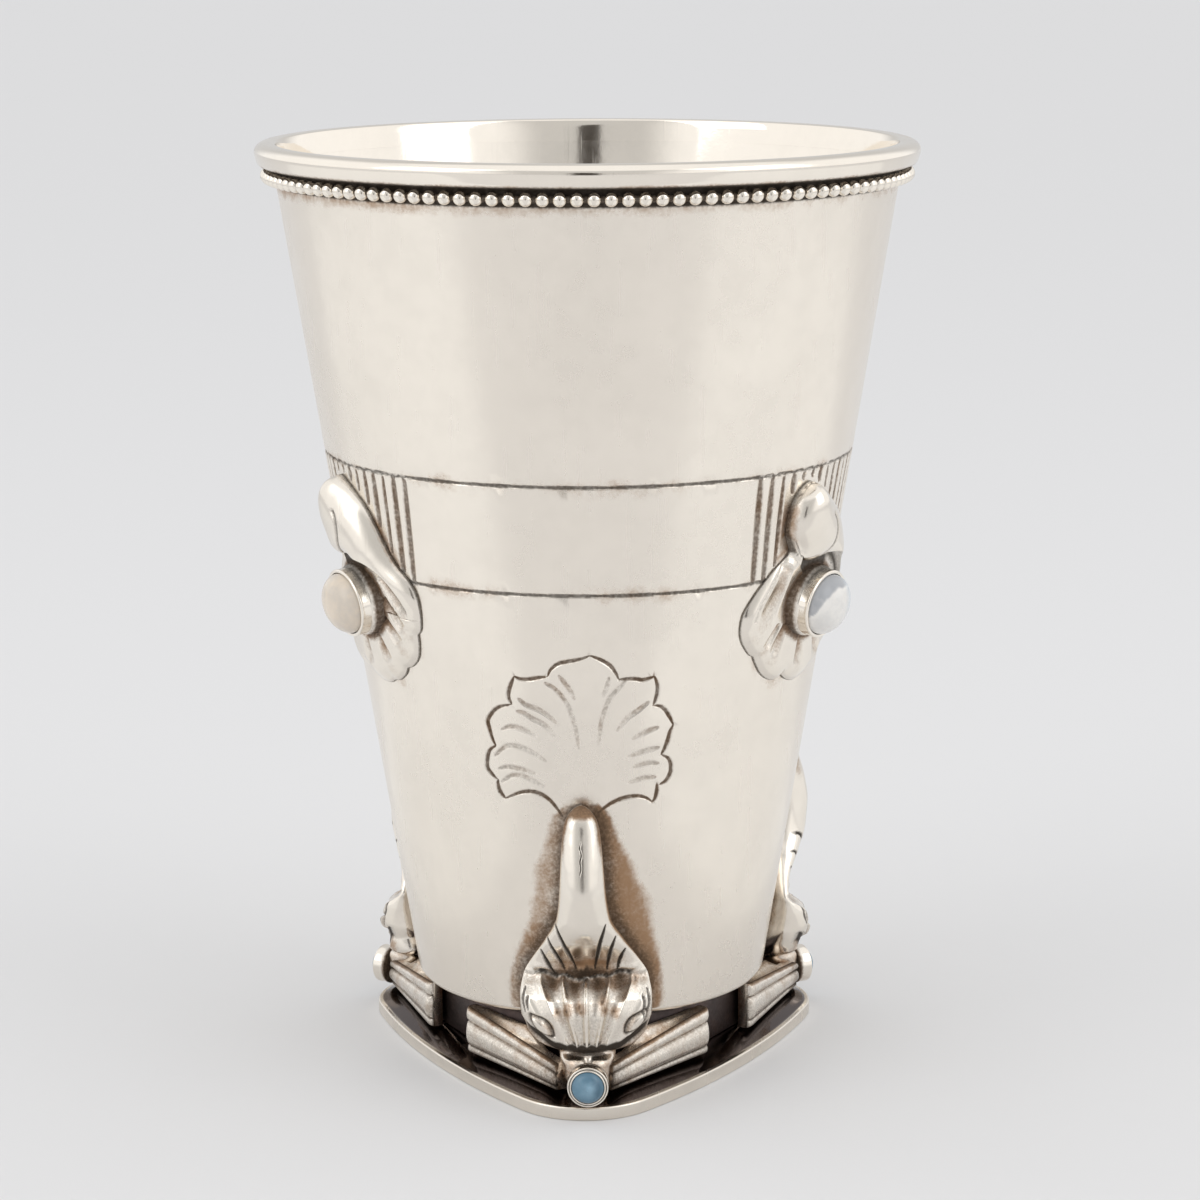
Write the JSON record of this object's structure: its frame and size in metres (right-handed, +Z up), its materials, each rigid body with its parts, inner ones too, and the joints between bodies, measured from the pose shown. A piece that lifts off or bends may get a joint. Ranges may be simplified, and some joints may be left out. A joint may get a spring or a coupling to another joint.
{
  "type": "silver beaker",
  "caption": "Tapering silver beaker with a beaded lip, shells set with cabochons on its wall, and dolphins with stones in their mouths on a rounded triangular foot.",
  "frame": {"origin": "middle of the foot's underside, on the cup's axis", "axes": "+Z up along the cup's axis, -Y towards the front dolphin"},
  "size_m": [0.113, 0.113, 0.16],
  "materials": {
    "cup_silver": "polished with faint wear",
    "bright_silver": "polished",
    "worn_silver": "polished on the high parts, brown tarnish in the low parts",
    "plate_silver": "mirror polished",
    "oxidised_silver": "dark oxidised satin",
    "oval_moonstone": "polished, milky",
    "round_moonstone": "polished, milky blue"
  },
  "bodies": {
    "root": {"base_plate": "plate_silver", "foot_block": "oxidised_silver", "cup": "cup_silver", "lip_band": "bright_silver", "bead_wire": "bright_silver", "dolphin_front": "worn_silver", "fin_front_a": "worn_silver", "fin_front_b": "worn_silver", "mouth_bezel_front": "bright_silver", "mouth_stone_front": "round_moonstone", "dolphin_right": "worn_silver", "fin_right_a": "worn_silver", "fin_right_b": "worn_silver", "mouth_bezel_right": "bright_silver", "mouth_stone_right": "round_moonstone", "dolphin_left": "worn_silver", "fin_left_a": "worn_silver", "fin_left_b": "worn_silver", "mouth_bezel_left": "bright_silver", "mouth_stone_left": "round_moonstone", "shell_right": "worn_silver", "collet_right": "bright_silver", "oval_stone_right": "oval_moonstone", "shell_left": "worn_silver", "collet_left": "bright_silver", "oval_stone_left": "oval_moonstone", "shell_back": "worn_silver", "collet_back": "bright_silver", "oval_stone_back": "oval_moonstone"}
  },
  "joints": []
}
